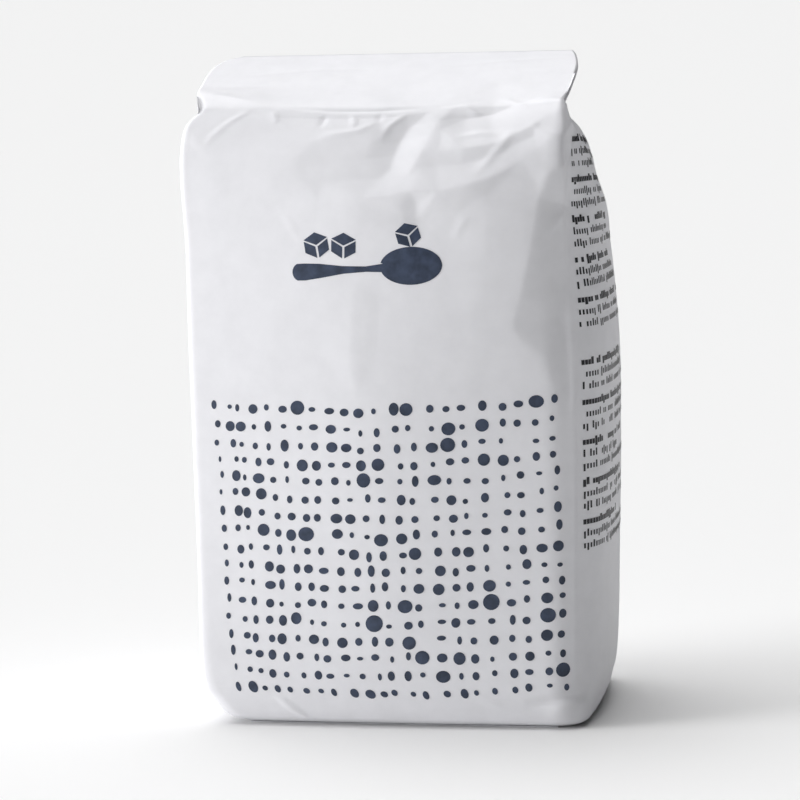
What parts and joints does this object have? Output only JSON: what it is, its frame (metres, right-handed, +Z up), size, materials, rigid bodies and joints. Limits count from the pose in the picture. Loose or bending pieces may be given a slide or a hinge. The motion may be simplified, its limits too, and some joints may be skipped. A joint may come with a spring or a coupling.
{
  "type": "sugar packet",
  "caption": "Shut upright paper bag of sugar with a block bottom, gusseted sides and a flat closing strip leaning back on top.",
  "frame": {"origin": "centre of the flat base, on the surface the bag stands on", "axes": "+Z up, the broad printed front panel faces -Y, +X along the panel's width"},
  "size_m": [0.1096, 0.0731, 0.1762],
  "materials": {
    "paper": "white clay-coated kraft paper, satin, softly creased, printed in navy and black"
  },
  "bodies": {
    "root": {"sugar_pack": "paper"}
  },
  "joints": []
}
